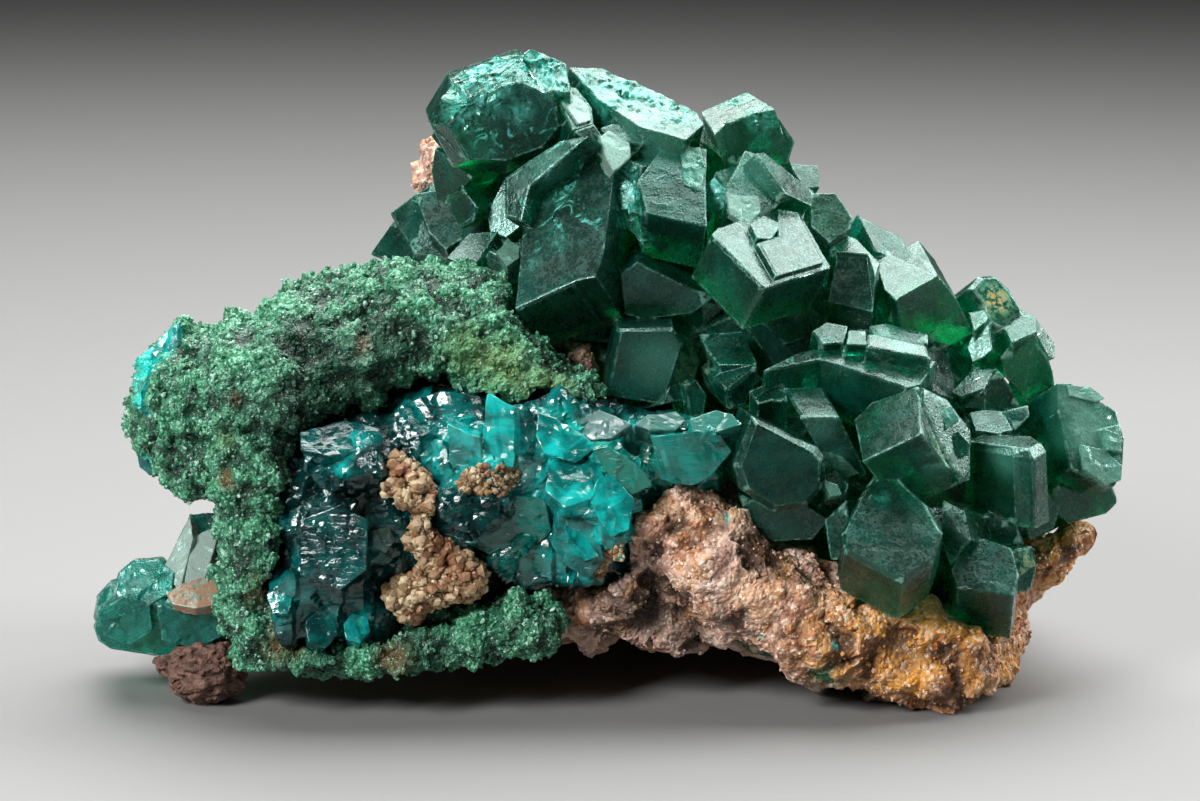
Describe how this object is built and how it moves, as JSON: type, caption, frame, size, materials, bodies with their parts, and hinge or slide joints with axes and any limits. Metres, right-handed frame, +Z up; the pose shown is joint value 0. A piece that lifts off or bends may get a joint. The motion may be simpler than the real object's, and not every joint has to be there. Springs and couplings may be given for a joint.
{
  "type": "mineral specimen",
  "caption": "Natural mineral specimen to stand on a shelf: a crust of blocky emerald crystals over stained rock, with a granular green crust and a broken blue-green vein.",
  "frame": {"origin": "on the resting surface, under the middle of the specimen", "axes": "+X to the specimen's right as seen from the front and along its length, +Y to its back, +Z up"},
  "size_m": [0.063, 0.0358, 0.0384],
  "materials": {
    "stained_rock": "sugary quartz and calcite stained tan, pink and ochre, with small sparkles",
    "malachite": "fine granular to velvety green crust with glints",
    "broken_dioptase": "cleaved and splintery translucent blue-green dioptase, glassy on the breaks",
    "sugary_calcite": "cream to tan sugary grains",
    "brown_nodule": "dull fibrous reddish brown",
    "emerald_dioptase": "transparent deep emerald crystal with satin growth faces and glassy breaks",
    "side_dioptase": "transparent blue-green crystal with pale satin faces"
  },
  "bodies": {
    "root": {"host_rock": "stained_rock", "malachite_crust": "malachite", "blue_green_vein": "broken_dioptase", "calcite_patch": "sugary_calcite", "brown_nodule": "brown_nodule", "dioptase_crystals": "emerald_dioptase", "side_crystals": "side_dioptase"}
  },
  "joints": []
}
